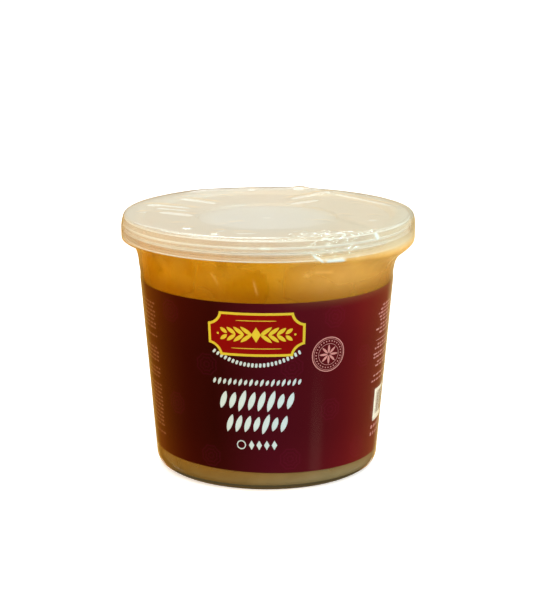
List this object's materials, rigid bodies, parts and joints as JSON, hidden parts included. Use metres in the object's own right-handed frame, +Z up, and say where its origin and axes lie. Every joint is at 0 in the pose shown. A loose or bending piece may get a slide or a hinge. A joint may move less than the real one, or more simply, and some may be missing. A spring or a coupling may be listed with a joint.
{
  "type": "tub of jaggery blocks",
  "caption": "Round plastic tub filled with jaggery blocks, with a press-on lid, a wrap-round label and a loose clear shrink film.",
  "frame": {"origin": "centre of the foot ring, on the surface that the tub stands on", "axes": "+Z up through the lid; -Y is the front of the label; the film is slack on the +X side"},
  "size_m": [0.1189, 0.1178, 0.1058],
  "materials": {
    "tub": "frosted natural polypropylene, satin",
    "lid": "milky natural polypropylene, satin",
    "label": "printed plastic film, dark maroon, semi-gloss",
    "jaggery": "solid unrefined cane sugar, golden amber, smooth and slightly waxy",
    "film": "clear thin shrink film, glossy, creased"
  },
  "bodies": {
    "root": {"tub": "tub", "lid": "lid", "label": "label", "jaggery_blocks": "jaggery", "film": "film"}
  },
  "joints": []
}
